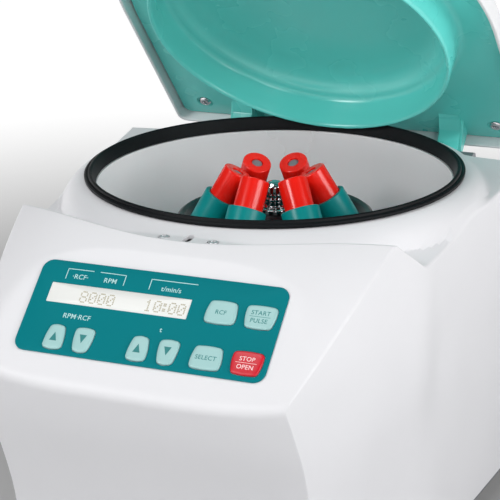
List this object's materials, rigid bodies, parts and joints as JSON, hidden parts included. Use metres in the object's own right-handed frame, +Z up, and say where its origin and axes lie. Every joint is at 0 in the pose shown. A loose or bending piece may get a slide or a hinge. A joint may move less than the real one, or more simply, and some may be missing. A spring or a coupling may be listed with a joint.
{
  "type": "benchtop centrifuge",
  "caption": "Benchtop centrifuge with a sloped membrane panel, hinged lid, round bowl and angle rotor holding red tubes in sleeves; lid, rotor, tubes, keys, latch and switch move.",
  "frame": {"origin": "on the floor, under the middle of the whole object with its lid open", "axes": "+Z up, +Y from the control panel to the hinges, +X to the right seen from the front"},
  "size_m": [0.266, 0.3477, 0.3889],
  "materials": {
    "housing_white": "satin moulded white",
    "liner_teal": "satin moulded teal",
    "panel_teal": "fine-textured membrane",
    "key_light_teal": "domed membrane",
    "key_red": "domed membrane",
    "display_cream": "clear over a cream display",
    "gasket_rubber": "moulded black",
    "bowl_grey": "satin light grey",
    "rotor_black": "satin black",
    "sleeve_teal": "moulded teal",
    "tube_red": "glossy red",
    "bright_steel": "bright turned",
    "frame_grey": "painted grey",
    "dark_plastic": "moulded black",
    "board_green": "coated board"
  },
  "bodies": {
    "body": {"base_plate": "frame_grey", "bowl": "bowl_grey", "bowl_boot": "gasket_rubber", "control_board": "board_green", "control_panel": "panel_teal", "display_window": "display_cream", "foot_1": "gasket_rubber", "foot_2": "gasket_rubber", "foot_3": "gasket_rubber", "foot_4": "gasket_rubber", "gasket": "gasket_rubber", "hinge_block_left": "frame_grey", "hinge_block_right": "frame_grey", "hinge_pin_left": "bright_steel", "hinge_pin_right": "bright_steel", "housing": "housing_white", "latch_body": "dark_plastic", "latch_screw_left": "bright_steel", "latch_screw_right": "bright_steel", "mains_inlet": "dark_plastic", "motor_body": "frame_grey", "motor_damper_1": "gasket_rubber", "motor_damper_2": "gasket_rubber", "motor_damper_3": "gasket_rubber", "motor_plate": "frame_grey", "switch_frame": "dark_plastic"},
    "lid": {"lid_shell": "housing_white", "lid_liner": "liner_teal", "lid_hook": "bright_steel", "liner_screw_1": "bright_steel", "liner_screw_2": "bright_steel", "liner_screw_3": "bright_steel", "liner_screw_4": "bright_steel"},
    "rotor": {"motor_shaft": "bright_steel", "rotor_body": "rotor_black", "sleeve_1": "sleeve_teal", "sleeve_2": "sleeve_teal", "sleeve_3": "sleeve_teal", "sleeve_4": "sleeve_teal", "sleeve_5": "sleeve_teal", "sleeve_6": "sleeve_teal"},
    "nut": {"rotor_nut": "bright_steel"},
    "bolt": {"latch_bolt": "bright_steel"},
    "switch_rocker": {"mains_switch": "dark_plastic"},
    "key_speed_up": {"key_speed_up": "key_light_teal"},
    "key_speed_down": {"key_speed_down": "key_light_teal"},
    "key_time_up": {"key_time_up": "key_light_teal"},
    "key_time_down": {"key_time_down": "key_light_teal"},
    "key_select": {"key_select": "key_light_teal"},
    "key_force": {"key_force": "key_light_teal"},
    "key_start": {"key_start": "key_light_teal"},
    "key_stop": {"key_stop": "key_red"},
    "tube_1": {"tube_1": "tube_red"},
    "tube_2": {"tube_2": "tube_red"},
    "tube_3": {"tube_3": "tube_red"},
    "tube_4": {"tube_4": "tube_red"},
    "tube_5": {"tube_5": "tube_red"},
    "tube_6": {"tube_6": "tube_red"}
  },
  "joints": [
    {"name": "lid_hinge", "type": "hinge", "parent": "body", "child": "lid", "pos_m": [0, 0.1446, 0.1907], "axis": [1, 0, 0], "range_deg": [0, 47.05]},
    {"name": "rotor_spin", "type": "hinge", "parent": "body", "child": "rotor", "pos_m": [0, 0.0309, 0.153], "axis": [0, 0, 1], "continuous": true},
    {"name": "rotor_nut_turn", "type": "hinge", "parent": "rotor", "child": "nut", "pos_m": [0, 0.0309, 0.193], "axis": [0, 0, 1], "continuous": true},
    {"name": "tube_1_lift", "type": "slide", "parent": "rotor", "child": "tube_1", "axis": [-0.4698, -0.171, 0.866], "range_m": [0, 0.008]},
    {"name": "tube_2_lift", "type": "slide", "parent": "rotor", "child": "tube_2", "axis": [-0.0868, -0.4924, 0.866], "range_m": [0, 0.008]},
    {"name": "tube_3_lift", "type": "slide", "parent": "rotor", "child": "tube_3", "axis": [0.383, -0.3214, 0.866], "range_m": [0, 0.008]},
    {"name": "tube_4_lift", "type": "slide", "parent": "rotor", "child": "tube_4", "axis": [0.4698, 0.171, 0.866], "range_m": [0, 0.008]},
    {"name": "tube_5_lift", "type": "slide", "parent": "rotor", "child": "tube_5", "axis": [0.0868, 0.4924, 0.866], "range_m": [0, 0.008]},
    {"name": "tube_6_lift", "type": "slide", "parent": "rotor", "child": "tube_6", "axis": [-0.383, 0.3214, 0.866], "range_m": [0, 0.008]},
    {"name": "key_speed_up_press", "type": "slide", "parent": "body", "child": "key_speed_up", "axis": [0, 0.6501, -0.7598], "range_m": [0, 0.0006], "stiffness_N_per_m": 600, "springref_m": -0.0002},
    {"name": "key_speed_down_press", "type": "slide", "parent": "body", "child": "key_speed_down", "axis": [0, 0.6501, -0.7598], "range_m": [0, 0.0006], "stiffness_N_per_m": 600, "springref_m": -0.0002},
    {"name": "key_time_up_press", "type": "slide", "parent": "body", "child": "key_time_up", "axis": [0, 0.6501, -0.7598], "range_m": [0, 0.0006], "stiffness_N_per_m": 600, "springref_m": -0.0002},
    {"name": "key_time_down_press", "type": "slide", "parent": "body", "child": "key_time_down", "axis": [0, 0.6501, -0.7598], "range_m": [0, 0.0006], "stiffness_N_per_m": 600, "springref_m": -0.0002},
    {"name": "key_select_press", "type": "slide", "parent": "body", "child": "key_select", "axis": [0, 0.6501, -0.7598], "range_m": [0, 0.0006], "stiffness_N_per_m": 600, "springref_m": -0.0002},
    {"name": "key_force_press", "type": "slide", "parent": "body", "child": "key_force", "axis": [0, 0.6501, -0.7598], "range_m": [0, 0.0006], "stiffness_N_per_m": 600, "springref_m": -0.0002},
    {"name": "key_start_press", "type": "slide", "parent": "body", "child": "key_start", "axis": [0, 0.6501, -0.7598], "range_m": [0, 0.0006], "stiffness_N_per_m": 600, "springref_m": -0.0002},
    {"name": "key_stop_press", "type": "slide", "parent": "body", "child": "key_stop", "axis": [0, 0.6501, -0.7598], "range_m": [0, 0.0006], "stiffness_N_per_m": 600, "springref_m": -0.0002},
    {"name": "mains_switch_rock", "type": "hinge", "parent": "body", "child": "switch_rocker", "pos_m": [-0.022, 0.1654, 0.053], "axis": [1, 0, 0], "range_deg": [0, 16]},
    {"name": "latch_bolt_slide", "type": "slide", "parent": "body", "child": "bolt", "axis": [-1, 0, 0], "range_m": [0, 0.0052]}
  ]
}
